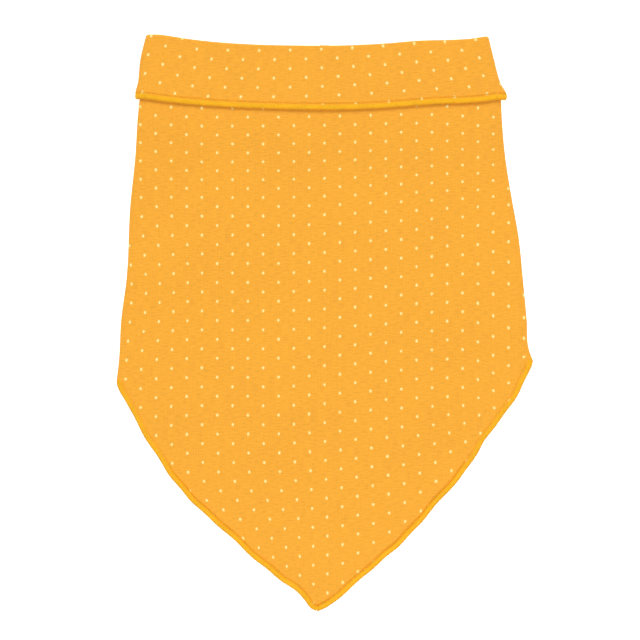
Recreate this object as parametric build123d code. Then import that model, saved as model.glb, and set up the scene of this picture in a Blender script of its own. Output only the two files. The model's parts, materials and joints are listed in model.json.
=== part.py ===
from build123d import *
import os

# A slip-on bandana bib for a baby, lying flat: a two-ply tube of cotton jersey, its neck turned
# down outwards as a collar, with a kerchief point in front and an overlocked hem round both edges.
# Millimetres. X runs across the bib, Y up towards the neck, Z up from the surface it lies on, so
# the front of the bib faces up. The origin is the middle of the footprint, on that surface.

# Cloth and thread
ply = 0.45                  # one layer of jersey
wall = 2 * ply              # shell and lining together
thread = 0.35               # the overlock thread over each face of the cloth
hem_width = 2.6
hem_height = wall + 2 * thread
seam_width = 5.0
inner_gap = 1.05            # between the back wall and the front wall
collar_gap = 0.7            # between a wall and the collar turned down over it

# Corners of the bib as it lies
neck_left, neck_middle, neck_right = (-88.8, 144.0), (-3.0, 139.3), (82.2, 142.9)
collar_left, collar_middle, collar_right = (-94.4, 112.4), (-2.0, 106.7), (91.2, 112.2)
corner_left, corner_right = (-104.0, -29.2), (104.0, -18.9)
bulge_left, bulge_right = (-67.0, -88.3), (58.0, -88.3)
tip = (-3.8, -144.0)

# Where the walls come down onto what lies under them
shoulder_top, shoulder_foot = 106.0, 94.0       # just past the hem of the back collar
drape_top, drape_foot = -33.0, -47.0            # just past the back's own bottom hem
reach = 160.0                                   # beyond the bib on every side

# Heights of the lower face of each layer
back_collar_z = thread
back_neck_z = back_collar_z + wall + collar_gap
front_neck_z = back_neck_z + wall + inner_gap
front_collar_z = front_neck_z + wall + collar_gap
front_chest_z = wall + inner_gap

# The collar turns up about these lines along X, above and below the two walls of the neck
hinge_y = neck_left[1] + 0.4
front_hinge_z = front_collar_z - collar_gap / 2
back_hinge_z = back_neck_z - collar_gap / 2

back_line = [(reach, back_neck_z), (shoulder_top, back_neck_z), (shoulder_foot, 0), (-reach, 0)]
front_line = [
    (reach, front_neck_z),
    (shoulder_top, front_neck_z),
    (shoulder_foot, front_chest_z),
    (drape_top, front_chest_z),
    (drape_foot, 0),
    (-reach, 0),
]


def drape(line, low, high):
    """A slab as wide as the bib, from low to high above a wall's (y, z) line."""
    under = [(y, z + low) for y, z in line]
    over = [(y, z + high) for y, z in reversed(line)]
    return extrude(Plane.YZ * make_face(Polyline(*under, *over, close=True)), reach, both=True)


def slab(low, high):
    """A level slab from height low to height high."""
    return Pos(0, 0, low) * extrude(Rectangle(2 * reach, 2 * reach), high - low)


def polygon(*points):
    return make_face(Polyline(*points, close=True))


def strip(start, end, near, far):
    """The face between two lines parallel to start-end, near and far to its left."""
    along = (Vector(*end) - Vector(*start)).normalized()
    inward = Vector(-along.Y, along.X)
    return polygon(
        Vector(*start) + inward * near,
        Vector(*end) + inward * near,
        Vector(*end) + inward * far,
        Vector(*start) + inward * far,
    )


def cut(outline, body):
    """The part of body inside an outline seen from above."""
    return extrude(outline, 2 * reach, both=True) & body


def bib_outline():
    """The front as cut: the neck edge, two straight sides and the bowed edges of the point."""
    edges = [
        ThreePointArc(neck_right, neck_middle, neck_left),
        Line(neck_left, corner_left),
        ThreePointArc(corner_left, bulge_left, tip),
        ThreePointArc(tip, bulge_right, corner_right),
        Line(corner_right, neck_right),
    ]
    return make_face(edges)


def collar_outline():
    edges = [
        ThreePointArc(neck_right, neck_middle, neck_left),
        Line(neck_left, collar_left),
        ThreePointArc(collar_left, collar_middle, collar_right),
        Line(collar_right, neck_right),
    ]
    return make_face(edges)


def corner_line(x, rise):
    """A point at x on the line through the two bottom corners, raised by rise."""
    slope = (corner_right[1] - corner_left[1]) / (corner_right[0] - corner_left[0])
    return (x, corner_left[1] + slope * (x - corner_left[0]) + rise)


def between_corners_and(y, rise):
    """Everything between the line through the bottom corners, raised by rise, and a level y."""
    return polygon(corner_line(-reach, rise), corner_line(reach, rise), (reach, y), (-reach, y))


bib = bib_outline()
collar = collar_outline()
neck_zone = polygon((-reach, shoulder_top), (reach, shoulder_top), (reach, reach), (-reach, reach))
front_chest_zone = between_corners_and(shoulder_top, 0)
back_chest_zone = between_corners_and(shoulder_top, hem_width)
point_zone = between_corners_and(-reach, 0)
hem_free = offset(bib, amount=-hem_width)


def wall_pieces(side, line, shell_low, lining_low, chest_zone):
    """The shell and lining of one wall, each as its neck and its chest."""
    pieces = {}
    for name, low, inset in (("shell", shell_low, ply), ("lining", lining_low, wall)):
        layer = drape(line, low, low + ply)
        outline = offset(bib, amount=-inset)
        pieces[f"{name}_{side}_neck"] = cut(outline & neck_zone, layer)
        pieces[f"{name}_{side}_chest"] = cut(outline & chest_zone, layer)
    return pieces


def point_pieces():
    """The kerchief point, which hangs past the back's bottom hem: two plies and two hems."""
    pieces = {}
    for name, low in (("shell", ply), ("lining", 0)):
        pieces[f"{name}_front_point"] = cut(hem_free & point_zone, drape(front_line, low, low + ply))
    band = (bib - hem_free) & point_zone
    halves = {
        "left": polygon((-reach, -reach), (tip[0], -reach), (tip[0], reach), (-reach, reach)),
        "right": polygon((tip[0], -reach), (reach, -reach), (reach, reach), (tip[0], reach)),
    }
    for name, half in halves.items():
        pieces[f"bottom_hem_{name}"] = cut(band & half, drape(front_line, 0, hem_height))
    return pieces


def side_pieces():
    """The folds that join the front and back walls along both sides, shell outside lining."""
    top_line = [(y, z + wall) for y, z in front_line if y > drape_foot and z > 0]
    top_line.append((-reach, front_chest_z + wall))
    pieces = {}
    for name, near, skin in (("shell", 0, 0), ("lining", ply, ply)):
        under = [(y, z + skin) for y, z in back_line]
        over = [(y, z - skin) for y, z in reversed(top_line)]
        fold = extrude(Plane.YZ * polygon(*under, *over), reach, both=True)
        above_hem = between_corners_and(reach, hem_width)
        left = strip(neck_left, corner_left, near, near + ply)
        right = strip(corner_right, neck_right, near, near + ply)
        pieces[f"{name}_side_left"] = cut(left & above_hem & bib, fold)
        pieces[f"{name}_side_right"] = cut(right & above_hem & bib, fold)
    return pieces


def seam_strip(top):
    """The width of the centre-back seam, up to a level."""
    return between_corners_and(top, hem_width) & Pos(0, 0) * Rectangle(seam_width, 4 * reach)


def collar_pieces(side, z, shell_low, lining_low):
    """One half of the turned-down collar. The lining is its outer face."""
    panel = collar & Pos(0, hem_width) * collar
    hem = collar - Pos(0, hem_width) * collar
    return {
        f"collar_{side}_shell": cut(panel, slab(z + shell_low, z + shell_low + ply)),
        f"collar_{side}_lining": cut(panel, slab(z + lining_low, z + lining_low + ply)),
        f"collar_{side}_hem": cut(hem, slab(z - thread, z - thread + hem_height)),
    }


seam_end = neck_middle[1] - wall
nodes = {}
nodes.update(wall_pieces("back", back_line, 0, ply, back_chest_zone))
nodes.update(wall_pieces("front", front_line, ply, 0, front_chest_zone))
nodes.update(point_pieces())
nodes.update(side_pieces())
back_hem = offset(bib, amount=-wall) & front_chest_zone - back_chest_zone
nodes["bottom_hem_back"] = cut(back_hem, slab(0, hem_height))
nodes["back_seam"] = cut(seam_strip(seam_end), drape(back_line, wall, wall + thread))
nodes.update(collar_pieces("front", front_collar_z, 0, ply))
nodes.update(collar_pieces("back", back_collar_z, ply, 0))
nodes["collar_back_seam"] = cut(
    seam_strip(seam_end) & Pos(0, hem_width) * collar, slab(back_collar_z - thread, back_collar_z)
)

os.makedirs("parts", exist_ok=True)
for name, solid in nodes.items():
    export_step(solid, f"parts/{name}.step")

box = Compound(list(nodes.values())).bounding_box()
print("bib measures", box.size, "from", box.min, "to", box.max)
print("collar hinges at y", hinge_y, "front z", front_hinge_z, "back z", back_hinge_z)
print("cloth and thread volume, mm3:", sum(solid.volume for solid in nodes.values()))
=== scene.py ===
import json
import math
import bpy
import numpy as np
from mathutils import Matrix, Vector


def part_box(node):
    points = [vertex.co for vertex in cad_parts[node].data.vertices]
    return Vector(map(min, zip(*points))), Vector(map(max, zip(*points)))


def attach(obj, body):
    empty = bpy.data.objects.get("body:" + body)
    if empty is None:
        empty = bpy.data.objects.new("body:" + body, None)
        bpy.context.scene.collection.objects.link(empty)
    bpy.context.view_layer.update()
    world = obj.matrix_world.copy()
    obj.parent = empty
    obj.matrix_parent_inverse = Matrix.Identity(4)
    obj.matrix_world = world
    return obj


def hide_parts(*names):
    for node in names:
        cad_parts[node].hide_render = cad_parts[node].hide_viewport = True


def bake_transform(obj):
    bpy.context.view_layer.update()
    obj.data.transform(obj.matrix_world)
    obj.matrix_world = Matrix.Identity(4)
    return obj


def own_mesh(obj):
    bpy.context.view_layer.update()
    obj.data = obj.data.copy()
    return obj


# A slip-on bandana bib of dotted jersey, laid flat and seen from above. The tube's two plies, its
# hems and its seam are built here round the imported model. Geometry is worked out in millimetres
# and turned into metres when a mesh is made.

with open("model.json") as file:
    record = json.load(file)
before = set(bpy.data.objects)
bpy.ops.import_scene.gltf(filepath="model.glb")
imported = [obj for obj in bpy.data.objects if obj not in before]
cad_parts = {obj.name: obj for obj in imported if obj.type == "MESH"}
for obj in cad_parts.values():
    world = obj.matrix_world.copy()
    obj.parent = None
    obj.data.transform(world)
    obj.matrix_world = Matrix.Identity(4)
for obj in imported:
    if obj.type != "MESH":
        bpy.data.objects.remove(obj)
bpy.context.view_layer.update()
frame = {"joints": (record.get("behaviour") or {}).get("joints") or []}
dice = np.random.default_rng(11)
mm = 0.001


def low(node):
    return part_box(node)[0] / mm


def high(node):
    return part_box(node)[1] / mm


# ---- Measures taken from the frame ----
ply = high("collar_front_lining").z - low("collar_front_lining").z
wall = 2 * ply
hem_height = high("collar_front_hem").z - low("collar_front_hem").z
hem_width = 2.6
point_stitch_width, collar_stitch_width = 3.1, 3.6     # hems as drawn, out to their needle lines
seam_width = high("back_seam").x - low("back_seam").x
seam_height = high("collar_back_seam").z - low("collar_back_seam").z
cloth = 0.92 * ply                              # thickness drawn, so that the plies stay apart

back_neck_z = high("shell_back_neck").z
front_neck_z = low("shell_front_neck").z
front_collar_z = low("collar_front_lining").z
front_chest_z = low("lining_front_chest").z + ply
back_chest_z = point_z = ply
fold_height = front_collar_z - front_neck_z
neck_middle_z = (front_neck_z + back_neck_z) / 2

tip_y = low("bottom_hem_left").y
corner_left = (low("bottom_hem_left").x, high("bottom_hem_left").y)
corner_right = (high("bottom_hem_right").x, high("bottom_hem_right").y)
neck_top_y = high("shell_side_left").y
collar_left_x, collar_right_x = low("collar_front_hem").x, high("collar_front_hem").x
joints = {joint["name"]: joint for joint in frame["joints"]}
hinge_y = joints["collar_front_turn"]["pos_m"][1] / mm


# ---- Small mathematics ----
def mix(a, b, t):
    return a + (b - a) * t


def ramp(x, start, end):
    """0 before start, 1 after end, and smooth between them. start may be the larger."""
    t = np.clip((x - start) / (end - start), 0, 1)
    return t * t * (3 - 2 * t)


def hump(x, middle, width):
    """1 at the middle, falling off smoothly to both sides."""
    return np.exp(-(((x - middle) / width) ** 2))


def curve(*knots):
    """A smooth function through (input, output) knots, with rising inputs."""
    at, value = (np.array(column, float) for column in zip(*knots))
    slope = np.gradient(value, at)

    def read(q):
        q = np.clip(q, at[0], at[-1])
        i = np.clip(np.searchsorted(at, q) - 1, 0, len(at) - 2)
        span = at[i + 1] - at[i]
        t = (q - at[i]) / span
        ends = (1 + 2 * t) * (1 - t) ** 2 * value[i] + t * t * (3 - 2 * t) * value[i + 1]
        return ends + t * (1 - t) * span * ((1 - t) * slope[i] - t * slope[i + 1])

    return read


# ---- Outline of the bib as it lies, in mm ----
# Edges that run across are curves of (x, y) knots, and edges that run up are curves of (y, x) knots.
neck_left_x, neck_right_x = -89.2, 82.0
neck_edge = curve(
    (-89.2, neck_top_y + 0.3), (-84.0, neck_top_y + 0.2), (-77.0, 143.3), (-70.0, 142.2), (-56.0, 140.6),
    (-38.0, 139.4), (-15.0, 138.8), (12.0, 138.9), (32.0, 139.9), (48.0, 141.2), (66.0, 141.7),
    (74.0, 142.2), (82.0, 143.4),
)
collar_edge = curve(
    (-94.5, 112.0), (-85.0, 110.6), (-62.0, 108.5), (-27.0, 106.9), (22.0, 106.8), (58.0, 109.2),
    (83.0, 110.5), (91.0, 111.6),
)
collar_left = curve((111.5, -93.9), (114.5, -94.5), (120.0, -93.3), (132.0, -92.0), (144.8, -88.9))
collar_right = curve((111.0, 90.4), (114.1, 90.9), (119.7, 88.1), (131.0, 84.9), (143.0, 82.0))
side_left = curve(
    (-29.2, -104.0), (-20.0, -102.9), (2.0, -101.6), (22.0, -99.0), (60.0, -97.0), (82.0, -94.7),
    (104.0, -93.2), (144.8, -87.2),
)
side_right = curve(
    (-18.9, 104.3), (-13.5, 102.3), (2.0, 101.1), (22.0, 99.2), (42.0, 97.2), (62.0, 93.7),
    (82.0, 90.5), (104.0, 88.5), (113.0, 88.0), (143.0, 80.4),
)
# The edge of the point, (x, y) from round the left corner, by the tip, to round the right corner
point_knots = [
    (-103.5, -27.4), (-104.0, -29.4), (-102.7, -33.6), (-99.9, -38.3), (-89.0, -58.0), (-76.2, -78.2),
    (-67.0, -88.2), (-46.0, -108.2), (-22.3, -128.2), (-10.2, -138.3), (-6.5, -142.8), (-3.8, -144.0),
    (-0.4, -142.8), (5.3, -138.6), (17.8, -128.6), (39.8, -108.5), (58.3, -88.6), (70.7, -73.3),
    (80.8, -58.3), (94.8, -38.3), (100.2, -28.3), (102.7, -23.4), (104.2, -19.3), (103.6, -17.1),
]
knot_gaps = np.hypot(*np.diff(np.array(point_knots).T))
knot_runs = np.concatenate([[0], np.cumsum(knot_gaps)])
point_x = curve(*zip(knot_runs, [x for x, y in point_knots]))
point_y = curve(*zip(knot_runs, [y for x, y in point_knots]))
point_run = np.linspace(0, knot_runs[-1], 1200)
point_path = np.column_stack([point_x(point_run), point_y(point_run)])
# The overlocked edge ripples a little between the corners
short_ripple = 0.22 * np.sin(point_run / 3.1 + 0.6 * np.sin(point_run / 11))
long_ripple = 0.3 * np.sin(point_run / 7.4 + 1)
from_ends = ramp(point_run, 5, 25) * ramp(point_run, knot_runs[-1] - 5, knot_runs[-1] - 25)
ripple = (short_ripple + long_ripple) * from_ends
path_slope = np.gradient(point_path, axis=0)
path_slope /= np.linalg.norm(path_slope, axis=1, keepdims=True)
point_path += ripple[:, None] * np.column_stack([-path_slope[:, 1], path_slope[:, 0]])
tip_index = int(point_path[:, 1].argmin())
left_edge, right_edge = point_path[tip_index::-1], point_path[tip_index:]


def point_left(y):
    return np.interp(y, left_edge[:, 1], left_edge[:, 0])


def point_right(y):
    return np.interp(y, right_edge[:, 1], right_edge[:, 0])


# Where the walls come down onto what lies under them
shoulder_foot, shoulder_top = 94.0, 106.0       # of the back, just past its collar's hem
front_foot, front_top = 72.0, 109.0             # the front bridges that step
drape_foot, drape_top = -72.0, -32.0
wall_split = 0.88                               # where the panel passes to the piece under the collar
edge_inset = 1.9                                # the cloth's raw edge, hidden in the hem
collar_drop = 33.0                              # from the neck fold down to the collar's edge
side_round = 2.6                                # how far the side folds round over
point_round = 0.6                               # the same in the point, which has no side folds
corner_opens = 0.035                            # share of the point in which the side folds open out


def front_wall_z(y):
    over_hem = (front_chest_z - point_z) * ramp(y, drape_foot, drape_top)
    over_collar = (front_neck_z - front_chest_z) * ramp(y, front_foot, front_top)
    return point_z + over_hem + over_collar


def back_wall_z(y):
    return back_chest_z + (back_neck_z - back_chest_z) * ramp(y, shoulder_foot, shoulder_top)


# ---- Slackness of the cloth ----
# Low waves: length, height, direction and phase
waves = [
    (dice.uniform(38, 95), dice.uniform(0.05, 0.11), dice.uniform(0, math.pi), dice.uniform(0, 6.28))
    for _ in range(9)
]
# Creases in the front: middle x and y, direction in degrees, length, width and height
creases = [
    (-55.0, 77.0, 4.0, 42.0, 2.2, 0.16),
    (52.0, 102.0, -3.0, 34.0, 2.8, 0.14),
    (81.5, 84.0, 96.0, 26.0, 3.0, -0.20),
    (-88.0, 40.0, 84.0, 60.0, 4.5, 0.18),
    (30.0, -64.0, 30.0, 46.0, 5.0, 0.14),
    (-38.0, -92.0, -38.0, 40.0, 4.0, 0.13),
    (4.0, 20.0, -12.0, 70.0, 7.0, 0.12),
]


elsewhere = 400.0                               # the collar reads the waves this far from the body


def slack(x, y):
    """Height that the front wall's cloth stands off its even lie, in mm."""
    total = sum(
        h * np.sin(2 * math.pi * (x * math.cos(a) + y * math.sin(a)) / length + phase)
        for length, h, a, phase in waves
    )
    for cx, cy, degrees, length, width, h in creases:
        a = math.radians(degrees)
        along = (x - cx) * math.cos(a) + (y - cy) * math.sin(a)
        off = (y - cy) * math.cos(a) - (x - cx) * math.sin(a)
        total = total + h * np.exp(-((along / (length / 2)) ** 2) - (off / width) ** 2)
    return np.logaddexp(0, 6 * total) / 6       # never below its even lie


# ---- One row of points across half of the tube ----
turn_steps, across_steps = 8, 150
point_steps, wall_steps, flap_steps = 111, 134, 26
fold_steps = 13                                 # odd, so that no row lies at the fold's middle
back_start = 0.008                              # the back's raw edge, inside its bottom hem
quarter = np.linspace(0, math.pi / 2, turn_steps + 1)[:-1]
turn = np.concatenate([quarter, np.full(across_steps + 1, math.pi / 2), quarter[::-1]])
across = np.concatenate([np.zeros(turn_steps), np.linspace(0, 1, across_steps + 1), np.ones(turn_steps)])
lean = np.cos(turn) * np.where(across < 0.5, -1, 1)
columns = len(turn)

neck_bend = side_round + fold_height / 2
neck_x = mix(neck_left_x + neck_bend, neck_right_x - neck_bend, across) + neck_bend * lean
neck_line = neck_edge(neck_x) - (fold_height + wall) / 2     # where the wall begins to turn over
corner_line = mix(corner_left[1], corner_right[1], across)
collar_line = collar_edge(mix(collar_left_x, collar_right_x, across))


def row(zone, v, front, shift):
    """Points across the front or back half, from its left side fold to its right one.

    zone is point (v from the corners to the tip), wall (from the corners to the neck), fold (over
    the neck) or flap (from the neck down the collar). shift moves the row off the middle of the
    wall, outwards in the wall and so inwards in the collar. In the point, which has no back, the
    row opens out flat."""
    turned = {"point": 0, "wall": 0, "fold": (1 - math.cos(math.pi * v)) / 2, "flap": 1}[zone]
    open_edge = 0
    if zone == "point":
        y = mix(corner_line, tip_y + 1.4 * edge_inset, v)
        open_edge = float(ramp(v, 0.0, corner_opens))
    if zone == "wall":
        y = mix(corner_line, neck_line, v)
    if zone == "fold":
        y = neck_line + (fold_height / 2 - shift) * math.sin(math.pi * v)
    if zone == "flap":
        y = mix(neck_line, collar_line, v)
    left_y, right_y = y[0], y[-1]
    if zone == "point":
        inset = 1.3 * edge_inset * open_edge * (1 - 0.5 * ramp(v, 0.95, 1))
        left = point_left(left_y) + wall / 2 - shift + inset
        right = point_right(right_y) - wall / 2 + shift - inset
    else:
        wall_left, flap_left = side_left(left_y) - shift, collar_left(left_y) + shift
        wall_right, flap_right = side_right(right_y) + shift, collar_right(right_y) - shift
        left = mix(wall_left, flap_left, turned) + wall / 2
        right = mix(wall_right, flap_right, turned) - wall / 2
    bend = mix(side_round + shift, side_round + fold_height - shift, turned)
    bend = mix(bend, point_round, open_edge)
    x = mix(left + bend, right - bend, across) + bend * lean
    if turned:
        middle = np.full(columns, neck_middle_z)
        half = np.full(columns, (front_neck_z - back_neck_z) / 2)
    else:
        middle = (front_wall_z(y) + back_wall_z(y)) / 2
        half = (front_wall_z(y) - back_wall_z(y)) / 2
    half = half + mix(shift, fold_height - shift, turned)
    rise = mix(np.sin(turn), 1, open_edge)
    z = middle + (1 if front else -1) * half * rise
    if front and not turned:
        z = z + slack(x, y) * rise * ramp(y, shoulder_top, shoulder_top - 14)
    if front and zone == "flap":
        off_centre = np.abs(2 * across - 1)
        settles = v ** 2 * off_centre * (1 - off_centre)
        own_slack = 0.45 * slack(x, y + elsewhere)
        z = z + (own_slack * math.sin(math.pi * min(v, 0.5)) - settles) * rise
    return np.column_stack([x, y, z])


def half_tube(front, shift):
    """All rows of one ply over one half, with the zone that each row is in."""
    point_rows = np.linspace(1, 0, point_steps + 1)[:-1] if front else []
    wall_rows = np.linspace(0 if front else back_start, 1, wall_steps + 1)
    fold_rows = np.linspace(0, 1, fold_steps + 1)[1:]
    flap_rows = np.linspace(0, 1 - edge_inset / collar_drop, flap_steps + 1)[1:]
    zones = {"point": point_rows, "wall": wall_rows, "fold": fold_rows, "flap": flap_rows}
    rows = [(zone, row(zone, v, front, shift)) for zone, vs in zones.items() for v in vs]
    return np.array([points for _, points in rows]), np.array([zone for zone, _ in rows])


# ---- Where each dot of the print falls ----
dot_column, dot_row = 7.66, 9.47
collar_dot_column, collar_dot_row = 7.99, 9.26
shell_print_y = 6.3                             # where the shell's print starts, before its slant
collar_print_x, collar_print_depth = -1.2, 15.9     # midway between two dots of its middle column
collar_tilt = 0.031                             # how steeply its rows climb to the right
back_shift = 3.1                                # the back's columns start elsewhere


def shell_print(x, y):
    """Print coordinates on the shell, in mm, with a dot at (0, 0). The jersey lies a little askew."""
    # Rows climb to the right and fall off towards both sides, all of it less so higher up
    climb = 4.5 * ramp(x, -31, 68) - 2.1 * ramp(x, 64, 96) - 0.9 * ramp(x, -60, -95)
    climb = climb * (1 - 0.3 * ramp(y, -10, 50) - 0.3 * ramp(y, 62, 100))
    climb = climb + 1.1 * ramp(x, -60, -85) * ramp(y, 30, 90)
    # Along the right side they are squeezed together in some places and spread in others
    eased = 1.6 * hump(y, 48, 30) - 1.4 * ramp(y, 78, 100) + 1.5 * ramp(y, -30, -55)
    eased_side = 2.9 * hump(y, 46, 34) - 2.2 * hump(y, -8, 20)
    climb = climb + eased * ramp(x, 42, 78) + eased_side * ramp(x, 72, 88)
    # Columns are pulled to the right in the point, and inwards at the left side
    pull = 1.4 * ramp(y, -40, -110) + 5 * ramp(y, -70, -125) * ramp(x, 5, -40)
    pull = pull + 1.8 * ramp(y, -25, -75) * ramp(x, 10, 80)
    pull = pull + 3.6 * ramp(x, -55, -105) * hump(y, 18, 29)
    stretched = y + 0.063 * np.clip(y - 60, 0, None)
    return x - pull, stretched - climb - shell_print_y


def lining_print(x, y):
    """The same on the collar, whose rows follow the neck edge and whose columns fan a little."""
    depth = mix(139.4, neck_edge(x), 0.72) - y
    down = np.clip(depth, 0, 34) - 16           # from half way down the collar
    fan = collar_dot_column + 0.018 * down
    depth = depth + 0.5 * ramp(x, -60, -85) - 0.3 * ramp(x, 10, 50)
    along = (depth - collar_print_depth + collar_tilt * x) * dot_row / collar_dot_row + dot_row / 2
    return (x - collar_print_x - 0.03 * down) * dot_column / fan, -along


def fold_crease(zones):
    """The first row past the middle of the neck fold, where the collar's cloth begins."""
    return np.flatnonzero(zones == "fold")[0] + fold_steps // 2


def print_coordinates(points, zones, front, shell):
    """Print coordinates of every point: exact where the ply shows, carried on round its folds."""
    step = np.diff(points, axis=1)
    length = np.cumsum(np.hypot(step[..., 0], step[..., 2]), axis=1)
    length = np.concatenate([np.zeros((len(points), 1)), length], axis=1)
    middle = columns // 2
    x = length - length[:, middle:middle + 1] + points[:, middle:middle + 1, 0]
    y = points[..., 1]
    up = np.linalg.norm(np.diff(points[..., 1:], axis=0), axis=2)
    up = np.concatenate([np.zeros((1, columns)), np.cumsum(up, axis=0)])
    neck = np.flatnonzero(zones == "wall")[-1]
    first_flap = np.flatnonzero(zones == "flap")[0]
    crease = fold_crease(zones)
    opened = 2 * (hinge_y - y[crease])          # how far the fold opens as the collar turns up
    if shell:
        a, b = shell_print(x, y)
        b[neck + 1:] = b[neck] + up[neck + 1:] - up[neck]
        b[crease:] += opened
    else:
        a, b = lining_print(x, y)
        b[:first_flap] = b[first_flap] + up[first_flap] - up[:first_flap]
        b[:crease] += opened
    if not front:
        a = a + back_shift
    return a, b


# ---- Meshes ----
def new_mesh(name, points, faces, smooth=True):
    """An object in the scene, from points in mm and lists of point numbers."""
    mesh = bpy.data.meshes.new(name)
    mesh.from_pydata((points * mm).tolist(), [], faces)
    mesh.polygons.foreach_set("use_smooth", np.full(len(mesh.polygons), smooth))
    piece = bpy.data.objects.new(name, mesh)
    bpy.context.scene.collection.objects.link(piece)
    return piece


def sheet_mesh(name, points, prints, cells, right_side_up, flat_row=None):
    """A closed mesh of the cells kept from a grid, as thick as the cloth, with its print coordinates.

    The third print coordinate is 0 on the wrong side of the cloth and 1 on its right side. The cells
    that start from flat_row, if any, are shaded flat."""
    across_step = np.gradient(points, axis=1)
    up_step = np.gradient(points, axis=0)
    normal = np.cross(across_step, up_step)
    normal /= np.maximum(np.linalg.norm(normal, axis=2, keepdims=True), 1e-9)
    rows, cols = points.shape[:2]
    index = np.arange(rows * cols).reshape(rows, cols)
    count = rows * cols
    i, j = np.nonzero(cells)
    rounded = i != flat_row
    quad = np.column_stack([index[i, j], index[i, j + 1], index[i + 1, j + 1], index[i + 1, j]])
    padded = np.pad(cells, 1)
    faces = [quad, quad[:, ::-1] + count]
    for di, dj, p, q in ((0, -1, 3, 0), (0, 1, 1, 2), (-1, 0, 0, 1), (1, 0, 2, 3)):
        edge = ~padded[i + 1 + di, j + 1 + dj]
        a, b = quad[edge, p], quad[edge, q]
        faces.append(np.column_stack([b, a, a + count, b + count]))
    rim_start = 2 * len(quad)
    faces = np.concatenate(faces)
    both = np.concatenate([points + normal * cloth / 2, points - normal * cloth / 2]).reshape(-1, 3)
    used, faces = np.unique(faces, return_inverse=True)
    faces = faces.reshape(-1, 4)
    piece = new_mesh(name, both[used], faces.tolist())
    smooth = np.concatenate([rounded, rounded, np.zeros(len(faces) - rim_start, bool)])
    piece.data.polygons.foreach_set("use_smooth", smooth)
    flat_normal = normal.reshape(-1, 3)
    vertex_normal = np.concatenate([flat_normal, -flat_normal])[used]
    corner_normal = vertex_normal[faces]
    corner_normal[~smooth] = 0
    piece.data.normals_split_custom_set(corner_normal.reshape(-1, 3).tolist())
    side = (used < count) == right_side_up
    a, b = (np.concatenate([p.ravel(), p.ravel()])[used] for p in prints)
    values = np.column_stack([a, b, side])
    attribute = piece.data.attributes.new("print", "FLOAT_VECTOR", "POINT")
    attribute.data.foreach_set("vector", values.astype(np.float32).ravel())
    return piece


def grid_area(points, cells):
    """Area of the kept cells in square metres."""
    diagonals = np.cross(points[1:, 1:] - points[:-1, :-1], points[1:, :-1] - points[:-1, 1:])
    return float(np.linalg.norm(diagonals, axis=2)[cells].sum() / 2 * mm * mm)


# ---- Materials ----
def srgb(r, g, b):
    """A colour given as screen values from 0 to 255, made linear."""
    screen = [c / 255 for c in (r, g, b)]
    linear = [c / 12.92 if c <= 0.04045 else ((c + 0.055) / 1.055) ** 2.4 for c in screen]
    return (*linear, 1.0)


class Nodes:
    """Short ways to add nodes to one material."""

    def __init__(self, name):
        self.material = bpy.data.materials.new(name)
        self.material.use_nodes = True
        self.tree = self.material.node_tree
        self.shader = self.tree.nodes["Principled BSDF"]

    def put(self, value, socket):
        if hasattr(value, "links"):
            self.tree.links.new(value, socket)
        else:
            socket.default_value = value

    def math(self, operation, *values):
        node = self.tree.nodes.new("ShaderNodeMath")
        node.operation = operation
        for value, socket in zip(values, node.inputs):
            self.put(value, socket)
        return node.outputs[0]

    def smooth(self, value, start, end, low=0.0, high=1.0):
        node = self.tree.nodes.new("ShaderNodeMapRange")
        node.interpolation_type = "SMOOTHSTEP"
        for given, socket in zip((value, start, end, low, high), node.inputs):
            self.put(given, socket)
        return node.outputs[0]

    def vector(self, x, y, z=0.0):
        node = self.tree.nodes.new("ShaderNodeCombineXYZ")
        for value, socket in zip((x, y, z), node.inputs):
            self.put(value, socket)
        return node.outputs[0]

    def noise(self, vector, scale, detail=2.0, roughness=0.5):
        node = self.tree.nodes.new("ShaderNodeTexNoise")
        self.put(vector, node.inputs["Vector"])
        self.put(scale, node.inputs["Scale"])
        self.put(detail, node.inputs["Detail"])
        self.put(roughness, node.inputs["Roughness"])
        return node.outputs["Fac"]

    def blend(self, factor, first, second):
        node = self.tree.nodes.new("ShaderNodeMix")
        node.data_type = "RGBA"
        self.put(factor, node.inputs[0])
        self.put(first, node.inputs[6])
        self.put(second, node.inputs[7])
        return node.outputs[2]

    def shade(self, colour, brightness):
        node = self.tree.nodes.new("ShaderNodeHueSaturation")
        self.put(brightness, node.inputs["Value"])
        self.put(colour, node.inputs["Color"])
        return node.outputs[0]

    def bump(self, height, distance, strength=1.0):
        node = self.tree.nodes.new("ShaderNodeBump")
        self.put(height, node.inputs["Height"])
        self.put(distance, node.inputs["Distance"])
        self.put(strength, node.inputs["Strength"])
        self.tree.links.new(node.outputs[0], self.shader.inputs["Normal"])


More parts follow.
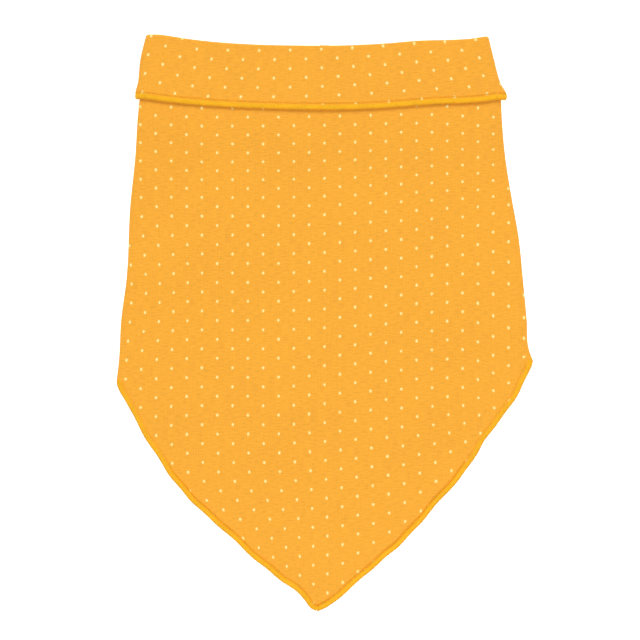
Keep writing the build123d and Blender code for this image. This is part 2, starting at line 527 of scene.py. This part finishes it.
def jersey_material():
    """Printed cotton jersey: staggered dots, knitted wales and courses, and heathered yarn."""
    n = Nodes("dotted_jersey")
    attribute = n.tree.nodes.new("ShaderNodeAttribute")
    attribute.attribute_name = "print"
    split = n.tree.nodes.new("ShaderNodeSeparateXYZ")
    n.tree.links.new(attribute.outputs["Vector"], split.inputs[0])
    a, b, right_side = split.outputs

    def wobble(seed):
        place = n.vector(n.math("MULTIPLY", a, 0.55), n.math("MULTIPLY", b, 0.55), seed)
        return n.math("MULTIPLY", n.math("SUBTRACT", n.noise(place, 1.0), 0.5), 0.6)

    dot_a, dot_b = n.math("ADD", a, wobble(3.0)), n.math("ADD", b, wobble(9.0))

    def nearest_dot(column_shift, row_shift):
        """Distance to the nearest dot of one of the two interleaved lattices, in dot radii."""
        pair = 2 * dot_column
        # Many whole pitches are added, so that what is folded is never below zero
        shifted_a = n.math("ADD", dot_a, column_shift * dot_column + 400 * pair)
        shifted_b = n.math("ADD", dot_b, row_shift * dot_row + 400 * dot_row)
        da = n.math("PINGPONG", shifted_a, pair / 2)
        db = n.math("PINGPONG", shifted_b, dot_row / 2)
        da, db = n.math("DIVIDE", da, dot_radius_a), n.math("DIVIDE", db, dot_radius_b)
        return n.math("SQRT", n.math("ADD", n.math("MULTIPLY", da, da), n.math("MULTIPLY", db, db)))

    distance = n.math("MINIMUM", nearest_dot(0, 0), nearest_dot(1, 0.5))
    grain = n.noise(n.vector(n.math("MULTIPLY", a, 2.2), n.math("MULTIPLY", b, 3.4)), 1.0, 3.0)
    distance = n.math("ADD", distance, n.math("MULTIPLY", n.math("SUBTRACT", grain, 0.5), 0.35))
    dots = n.smooth(distance, 1.3, 0.6)
    dots = n.math("MULTIPLY", dots, n.smooth(right_side, 0.3, 0.7, 0.18, 0.96))

    streak = n.noise(n.vector(n.math("MULTIPLY", a, 0.28), n.math("MULTIPLY", b, 1.9)), 1.0, 3.0, 0.6)
    wale = n.noise(n.vector(n.math("MULTIPLY", a, 1.7), n.math("MULTIPLY", b, 0.12), 5.0), 1.0, 2.0, 0.6)
    cloud = n.noise(n.vector(n.math("MULTIPLY", a, 0.03), n.math("MULTIPLY", b, 0.03), 8.0), 1.0, 2.0)
    brightness = n.smooth(streak, 0.25, 0.75, 0.89, 1.075)
    brightness = n.math("MULTIPLY", brightness, n.smooth(wale, 0.25, 0.75, 0.965, 1.025))
    brightness = n.math("MULTIPLY", brightness, n.smooth(cloud, 0.3, 0.7, 0.985, 1.012))
    ground = n.blend(n.smooth(right_side, 0.3, 0.7), pale_ground, printed_ground)
    colour = n.blend(dots, n.shade(ground, brightness), dot_colour)
    n.put(colour, n.shader.inputs["Base Color"])

    stitch_a = n.math("PINGPONG", n.math("ADD", a, 400.0), wale_pitch / 2)
    stitch_a = n.math("DIVIDE", stitch_a, wale_pitch / 2)
    chevron = n.math("ADD", n.math("MULTIPLY", stitch_a, 0.6), n.math("DIVIDE", b, course_pitch))
    course = n.math("PINGPONG", n.math("ADD", chevron, 800.0), 0.5)
    knit = n.math("ADD", n.math("MULTIPLY", n.smooth(stitch_a, 0.0, 0.55), 0.6), course)
    fuzz = n.noise(n.vector(n.math("MULTIPLY", a, 2.6), n.math("MULTIPLY", b, 2.6), 2.0), 1.0, 3.0, 0.65)
    height = n.math("ADD", knit, n.math("MULTIPLY", fuzz, 1.6))
    height = n.math("ADD", height, n.math("MULTIPLY", streak, 0.9))
    n.bump(height, 0.06 * mm, 0.7)
    n.put(n.smooth(fuzz, 0.3, 0.7, 0.82, 0.96), n.shader.inputs["Roughness"])
    n.shader.inputs["Sheen Weight"].default_value = 0.05
    n.shader.inputs["Sheen Roughness"].default_value = 0.5
    n.shader.inputs["Specular IOR Level"].default_value = 0.18
    return n.material


def thread_material():
    """Fluffed overlock thread: fine fibres and uneven dye, with painted shade beside the needle line,
    under the roll and towards its outer edge.
    """
    n = Nodes("overlock_thread")
    attribute = n.tree.nodes.new("ShaderNodeAttribute")
    attribute.attribute_name = "inward"
    inward = attribute.outputs["Fac"]
    # Painted shade: a deeper orange in the groove beside the needle line and on the roll's outer face
    painted_shade = n.math("MAXIMUM", n.smooth(inward, 0.1, 0.6), n.smooth(inward, -0.1, -0.7))
    shaded_thread = n.blend(painted_shade, thread_colour, painted_shade_colour)
    # Painted shade: darker towards the outer edge, where the roll turns away from the light
    shaded_thread = n.shade(shaded_thread, n.smooth(inward, -1.0, -0.55, 0.86, 1.0))
    place = n.tree.nodes.new("ShaderNodeTexCoord").outputs["Object"]
    fibres = n.noise(place, 4200.0, 3.0, 0.6)
    dye = n.smooth(n.noise(place, 160.0, 2.0), 0.3, 0.7, 0.96, 1.04)
    brightness = n.math("MULTIPLY", dye, n.smooth(fibres, 0.25, 0.75, 0.93, 1.04))
    n.put(n.shade(shaded_thread, brightness), n.shader.inputs["Base Color"])
    n.bump(fibres, 0.05 * mm, 0.5)
    n.put(n.smooth(fibres, 0.3, 0.7, 0.62, 0.8), n.shader.inputs["Roughness"])
    n.shader.inputs["Sheen Weight"].default_value = 0.05
    n.shader.inputs["Specular IOR Level"].default_value = 0.25
    return n.material


dot_radius_a, dot_radius_b = 0.66, 0.80
wale_pitch, course_pitch = 0.9, 0.75
printed_ground = srgb(249, 173, 56)
pale_ground = srgb(248, 196, 112)
dot_colour = srgb(255, 234, 150)
thread_colour = srgb(250, 192, 30)
# A deeper copy of the thread colour, painted where shade falls in the groove and under the roll
painted_shade_colour = srgb(250, 179, 26)
jersey = jersey_material()
yarn = thread_material()


# ---- Cloth pieces ----
body = "bib_body"


def cells_where(rows, ends, zones, wanted):
    """Which cells of the grid a piece keeps: those in the wanted zones, at the side folds or not."""
    keep_row = np.isin(zones[1:], wanted)
    at_end = (turn[:-1] < math.pi / 2 - 1e-6) | (turn[1:] < math.pi / 2 - 1e-6)
    keep_column = {"all": np.ones_like(at_end), "ends": at_end, "flat": ~at_end}[ends]
    return (keep_row & rows)[:, None] & keep_column[None, :]


def dress(piece, material, nodes):
    piece.data.materials.append(material)
    if nodes:
        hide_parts(*nodes)
    return piece


def turn_at_fold(piece):
    """Bakes the piece's placement into its mesh."""
    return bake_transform(piece)


def side_fold_cells(rows, zones, wanted, which):
    """The cells round one side fold, left or right."""
    left = np.arange(columns - 1) < columns // 2
    return cells_where(rows, "ends", zones, wanted) & (left if which == "left" else ~left)


def collar_flange(side, layer, points, prints, zones, outer_up, which):
    """One side fold of the collar, from the crease on, attached to the collar."""
    past_crease = np.arange(len(points) - 1) >= fold_crease(zones)
    cells = side_fold_cells(past_crease, zones, ["fold", "flap"], which)
    piece = sheet_mesh(f"{layer}_collar_fold_{side}_{which}", points, prints, cells, outer_up)
    dress(piece, jersey, [])
    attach(piece, f"collar_{side}")
    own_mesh(piece)
    return piece


def neck_corner(side, layer, points, prints, zones, outer_up, which):
    """The neck fold's lower half round a side fold. It stays with the body."""
    up_to_crease = np.arange(len(points) - 1) < fold_crease(zones)
    cells = side_fold_cells(up_to_crease, zones, ["fold"], which)
    piece = sheet_mesh(f"{layer}_neck_corner_{side}_{which}", points, prints, cells, outer_up)
    dress(piece, jersey, [])
    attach(piece, body)
    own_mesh(piece)
    return piece


def build_cloth(side, layer):
    """The pieces of one ply over one half: its body panel, its collar and the small side folds.

    Returned with them are the flat size and the area of the panel and of the collar."""
    front, shell = side == "front", layer == "shell"
    points, zones = half_tube(front, ply / 2 if shell else -ply / 2)
    prints = print_coordinates(points, zones, front, shell)
    # The grid's own normal points up. The shell's right side faces out of the tube.
    outer_up = front == shell
    wall_rows = np.flatnonzero(zones == "wall")
    split = wall_rows[0] + int(wall_split * len(wall_rows))
    below = np.arange(len(points) - 1) < split

    panel_cells = cells_where(below, "all", zones, ["point", "wall"])
    panel = sheet_mesh(f"{layer}_{side}_panel", points, prints, panel_cells, outer_up)
    parts = ["neck", "chest", "point"] if front else ["neck", "chest"]
    nodes = [f"{layer}_{side}_{part}" for part in parts]
    if front:
        nodes += [f"{layer}_side_left", f"{layer}_side_right"]
    dress(panel, jersey, nodes)
    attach(panel, body)

    collar_cells = cells_where(~below, "all", zones, ["wall"])
    collar_cells |= cells_where(True, "flat", zones, ["fold", "flap"])
    opening = fold_crease(zones) - 1
    collar = sheet_mesh(f"{layer}_{side}_collar", points, prints, collar_cells, outer_up, opening)
    dress(collar, jersey, [f"collar_{side}_{layer}"])
    turn_at_fold(collar)
    folds = [
        make(side, layer, points, prints, zones, outer_up, which)
        for make in (collar_flange, neck_corner)
        for which in ("left", "right")
    ]
    panel_tall = np.ptp(points[zones != "flap"][..., 1]) * mm
    panel_wide = np.ptp(points[..., 0]) * mm + 2 * mm           # its side folds, opened out
    flat = points[split:, turn_steps:turn_steps + across_steps + 1]
    collar_tall = np.linalg.norm(np.diff(flat, axis=0), axis=2).sum(axis=0).max() * mm
    collar_wide = np.linalg.norm(np.diff(flat, axis=1), axis=2).sum(axis=1).max() * mm
    panel_cut = (panel_wide, panel_tall), grid_area(points, panel_cells)
    collar_cut = (collar_wide, collar_tall), grid_area(points, collar_cells)
    return panel, collar, folds, panel_cut, collar_cut


# ---- Overlocked hems and seams ----
loop_pitch = 0.66                               # from one thread loop to the next
loop_radius = 0.52 * loop_pitch                 # so that neighbours touch
needle_radius, stitch_length = 0.17, 2.4
loop_steps, thread_sides, core_sides = 16, 6, 12


def frames_along(path, inward, up, step):
    """Evenly spaced stations along a path: place, direction, and the inward and up directions."""
    gaps = np.linalg.norm(np.diff(path, axis=0), axis=1)
    run = np.concatenate([[0], np.cumsum(gaps)])
    count = max(2, int(round(run[-1] / step)))
    at = (np.arange(count) + 0.5) * run[-1] / count
    place, inward, up = (
        np.column_stack([np.interp(at, run, column) for column in table.T]) for table in (path, inward, up)
    )
    along = np.gradient(place, axis=0)
    along /= np.linalg.norm(along, axis=1, keepdims=True)
    inward -= along * np.sum(inward * along, axis=1, keepdims=True)
    inward /= np.linalg.norm(inward, axis=1, keepdims=True)
    up = np.cross(along, inward) * np.sign(np.sum(np.cross(along, inward) * up, axis=1, keepdims=True))
    return place, along, inward, up, at


def tubes(centre, radius, sides, closed):
    """Vertices and faces of many round threads at once. centre is threads x stations x 3."""
    if closed:
        run = np.roll(centre, -1, axis=1) - np.roll(centre, 1, axis=1)
    else:
        run = np.gradient(centre, axis=1)
    run /= np.maximum(np.linalg.norm(run, axis=2, keepdims=True), 1e-9)
    hub = centre.mean(axis=1, keepdims=True)
    guide = centre - hub if closed else np.broadcast_to(np.array([0.0, 0.0, 1.0]), run.shape)
    first = guide - run * np.sum(guide * run, axis=2, keepdims=True)
    first /= np.maximum(np.linalg.norm(first, axis=2, keepdims=True), 1e-9)
    second = np.cross(run, first)
    spin = 2 * math.pi * np.arange(sides) / sides
    ring = first[:, :, None] * np.cos(spin)[:, None] + second[:, :, None] * np.sin(spin)[:, None]
    points = centre[:, :, None] + ring * radius
    threads, stations = centre.shape[:2]
    index = np.arange(threads * stations * sides).reshape(threads, stations, sides)
    ahead = np.roll(index, -1, axis=1) if closed else index[:, 1:]
    here = index if closed else index[:, :-1]
    faces = np.stack([here, np.roll(here, -1, axis=2), np.roll(ahead, -1, axis=2), ahead], axis=-1)
    faces = faces.reshape(-1, 4).tolist()
    if not closed:
        faces += [ends[::-1] for ends in index[:, 0].tolist()] + index[:, -1].tolist()
    return points.reshape(-1, 3), faces


def wraps(path, inward, up, width, height, crest):
    """The thread loops side by side round an edge, as (points, faces, how far inward each point is)."""
    place, along, inward, up, _ = frames_along(path, inward, up, loop_pitch)
    count = len(place)
    angle = 2 * math.pi * np.arange(loop_steps) / loop_steps
    wide = (width / 2 - loop_radius) * dice.uniform(0.95, 1.03, (count, 1))
    tall = (height / 2 - loop_radius) * dice.uniform(0.94, 1.02, (count, 1))
    reach = wide * np.cos(angle)
    thinning = 1.0 if crest is None else mix(1.0, 0.62, ramp(np.cos(angle), crest, crest + 0.85))
    rise = tall * np.sin(angle) * thinning
    slant = loop_pitch * (0.55 * np.cos(angle) + 0.2 * np.sin(angle))
    slant = slant + dice.uniform(-0.07, 0.07, (count, 1))
    loops = place[:, None] + inward[:, None] * reach[..., None] + up[:, None] * rise[..., None]
    loops = loops + along[:, None] * slant[..., None]
    points, faces = tubes(loops, loop_radius, thread_sides, True)
    return points, faces, np.tile(np.repeat(np.cos(angle), thread_sides), count)


def needle_line(path, inward, up, width):
    """The line of needle stitches beside the loops, dipping into the cloth once a stitch."""
    place, _, inward, up, run = frames_along(path, inward, up, 0.4)
    dip = np.abs(np.sin(math.pi * run / stitch_length))[:, None]
    line = place + inward * (width / 2 + 0.05) + up * (ply + 0.05 + 0.12 * dip)
    points, faces = tubes(line[None], needle_radius, thread_sides, False)
    return points, faces, np.ones(len(points))


def core(path, inward, up, width, height):
    """The solid middle of the edge, seen between the loops. Its section is a squared-off oval."""
    place, _, inward, up, _ = frames_along(path, inward, up, 1.5)
    angle = 2 * math.pi * np.arange(core_sides) / core_sides
    reach = (width / 2 - loop_radius) * np.cos(angle)
    rise = 0.65 * height / 2 * np.sign(np.sin(angle)) * np.abs(np.sin(angle)) ** 0.5
    rings = place[:, None] + inward[:, None] * reach[:, None] + up[:, None] * rise[:, None]
    index = np.arange(len(place) * core_sides).reshape(-1, core_sides)
    here, ahead = index[:-1], index[1:]
    quads = np.stack([here, np.roll(here, -1, 1), np.roll(ahead, -1, 1), ahead], -1)
    ends = [index[0, ::-1].tolist(), index[-1].tolist()]
    faces = quads.reshape(-1, 4).tolist() + ends
    return rings.reshape(-1, 3), faces, np.tile(np.cos(angle), len(place))


def overlock(name, path, inward, up, width, height, crest=None):
    """A wrapped edge: thread loops side by side round a core, and a needle line beside them.

    A rolled edge has a crest, from -1 at the outer edge to 1 at the needle line, past which it thins.
    Each vertex carries how far inward of the crest it is, from -1 at the outer edge."""
    groups = [
        wraps(path, inward, up, width, height, crest),
        needle_line(path, inward, up, width),
        core(path, inward, up, width, height),
    ]
    faces, base = [], 0
    for points, group_faces, _ in groups:
        faces += [[base + k for k in face] for face in group_faces]
        base += len(points)
    hem = new_mesh(name, np.concatenate([points for points, _, _ in groups]), faces)
    past_crest = np.zeros(base)
    if crest is not None:
        past_crest = np.concatenate([values for _, _, values in groups]) - crest
        past_crest = np.where(past_crest < 0, past_crest / (1 + crest), past_crest)
    attribute = hem.data.attributes.new("inward", "FLOAT", "POINT")
    attribute.data.foreach_set("value", past_crest.astype(np.float32))
    return hem


def collar_hems(side):
    """The collar's hem over one half, in its level part and round the two side folds."""
    front = side == "front"
    middle_v = 1 - collar_stitch_width / 2 / collar_drop
    line = row("flap", middle_v, front, 0)
    above = row("flap", middle_v - 0.04, front, 0)
    inward = above - line
    inward /= np.linalg.norm(inward, axis=1, keepdims=True)
    along = np.gradient(line, axis=0)
    up = np.cross(along, inward)
    spans = {
        "": slice(turn_steps, turn_steps + across_steps + 1),
        "_left": slice(0, turn_steps + 1),
        "_right": slice(turn_steps + across_steps, columns),
    }
    hems = []
    for suffix, span in spans.items():
        name = f"{side}_collar_edge{suffix}"
        edge = line[span], inward[span], up[span]
        hem = overlock(name, *edge, collar_stitch_width, hem_height, crest=0.0)
        dress(hem, yarn, [] if suffix else [f"collar_{side}_hem"])
        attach(hem, f"collar_{side}")
        if suffix:
            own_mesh(hem)
        hems.append(hem)
    return hems


def point_hem(which):
    """The hem along one edge of the kerchief point, from its corner to the tip."""
    path = point_path[:tip_index + 1] if which == "left" else point_path[tip_index:]
    along = np.gradient(path, axis=0)
    inward = np.column_stack([-along[:, 1], along[:, 0], np.zeros(len(path))])
    inward /= np.linalg.norm(inward, axis=1, keepdims=True)
    x, y = (path + inward[:, :2] * point_stitch_width / 2).T
    opened = ramp(path[0 if which == "left" else -1, 1] - path[:, 1], 0, 1.2)
    z = mix((front_wall_z(y) + back_wall_z(y)) / 2, front_wall_z(y), opened) + slack(x, y) * opened
    middle = np.column_stack([x, y, np.maximum(z, hem_height / 2)])
    up = np.tile([0.0, 0.0, 1.0], (len(path), 1))
    hem = overlock(f"point_hem_{which}", middle, inward, up, point_stitch_width, hem_height, crest=-0.2)
    dress(hem, yarn, [f"bottom_hem_{which}"])
    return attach(hem, body)


def back_hem():
    """The bottom hem of the back, which runs straight between the corners under the front."""
    spread = np.linspace(0, 1, 80)
    x = mix(corner_left[0] + 1.0, corner_right[0] - 1.0, spread)
    y = mix(corner_left[1], corner_right[1], spread) + hem_width / 2
    middle = np.column_stack([x, y, np.full_like(x, hem_height / 2)])
    slope = (corner_right[1] - corner_left[1]) / (corner_right[0] - corner_left[0])
    inward = np.tile([-slope, 1.0, 0.0], (len(x), 1))
    up = np.tile([0.0, 0.0, -1.0], (len(x), 1))
    hem = overlock("back_hem", middle, inward, up, hem_width, hem_height, crest=-0.2)
    dress(hem, yarn, ["bottom_hem_back"])
    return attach(hem, body)


def back_seam():
    """The centre-back seam: up the inside of the back, over the neck fold and down the back collar."""
    middle = columns // 2
    off = 0.02 - ply                            # half sunk in the cloth, and just clear of the floor
    stretches = {
        "centre_back_seam": [("wall", np.linspace(0.02, wall_split, 62))],
        "centre_back_seam_collar": [
            ("wall", np.linspace(wall_split, 1, 10)),
            ("fold", np.linspace(0, 1, 11)[1:]),
            ("flap", np.linspace(0, 0.9, 16)[1:]),
        ],
    }
    seams = []
    for name, zones in stretches.items():
        line = np.array([row(zone, v, False, off)[middle] for zone, vs in zones for v in vs])
        line[:, 0] = 0
        inward = np.tile([1.0, 0.0, 0.0], (len(line), 1))
        up = np.cross(np.gradient(line, axis=0), inward)
        seam = overlock(name, line, inward, up, seam_width, 2 * seam_height)
        seams.append(dress(seam, yarn, []))
    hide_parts("back_seam")
    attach(seams[0], body)
    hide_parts("collar_back_seam")
    turn_at_fold(seams[1])
    return seams


plies = [("front", "shell"), ("front", "lining"), ("back", "shell"), ("back", "lining")]
cloth_pieces = {(side, layer): build_cloth(side, layer) for side, layer in plies}
hems = {side: collar_hems(side) for side in ("front", "back")}
point_hems = [point_hem("left"), point_hem("right")]
back_edge = back_hem()
seams = back_seam()


# ---- Floor, light and camera ----
def floor():
    n = Nodes("pale_floor")
    n.shader.inputs["Base Color"].default_value = (0.95, 0.95, 0.95, 1)
    n.shader.inputs["Emission Color"].default_value = (1, 1, 1, 1)
    n.shader.inputs["Emission Strength"].default_value = 0.6
    n.shader.inputs["Roughness"].default_value = 0.9
    n.shader.inputs["Specular IOR Level"].default_value = 0.1
    reach = 2500.0
    corners = np.array([[-reach, -reach, 0], [reach, -reach, 0], [reach, reach, 0], [-reach, reach, 0]])
    piece = new_mesh("floor", corners, [[0, 1, 2, 3]], smooth=False)
    piece.data.materials.append(n.material)


def area_light(name, place, aim, size, power):
    light = bpy.data.lights.new(name, "AREA")
    light.shape = "DISK"
    light.size = size
    light.energy = power
    lamp = bpy.data.objects.new(name, light)
    lamp.location = place
    lamp.rotation_euler = (Vector(aim) - Vector(place)).to_track_quat("-Z", "Y").to_euler()
    bpy.context.scene.collection.objects.link(lamp)


floor()
area_light("key", (-0.5, 2.9, 2.9), (0, 0, 0), 2.5, 105.0)
area_light("fill", (0.4, -1.5, 1.9), (0, -0.05, 0), 1.6, 32.0)
world = bpy.data.worlds.new("studio")
world.use_nodes = True
world.node_tree.nodes["Background"].inputs["Color"].default_value = (1, 1, 1, 1)
world.node_tree.nodes["Background"].inputs["Strength"].default_value = 0.285
bpy.context.scene.world = world
bpy.context.scene.view_settings.view_transform = "Standard"

view_width = 0.320                              # metres across the picture
view_middle = (-0.00225, 0.00175)
camera_data = bpy.data.cameras.new("camera")
camera_data.lens = 300
camera_data.sensor_width = 36
camera = bpy.data.objects.new("camera", camera_data)
camera.location = (*view_middle, view_width * camera_data.lens / camera_data.sensor_width)
bpy.context.scene.collection.objects.link(camera)
bpy.context.scene.camera = camera
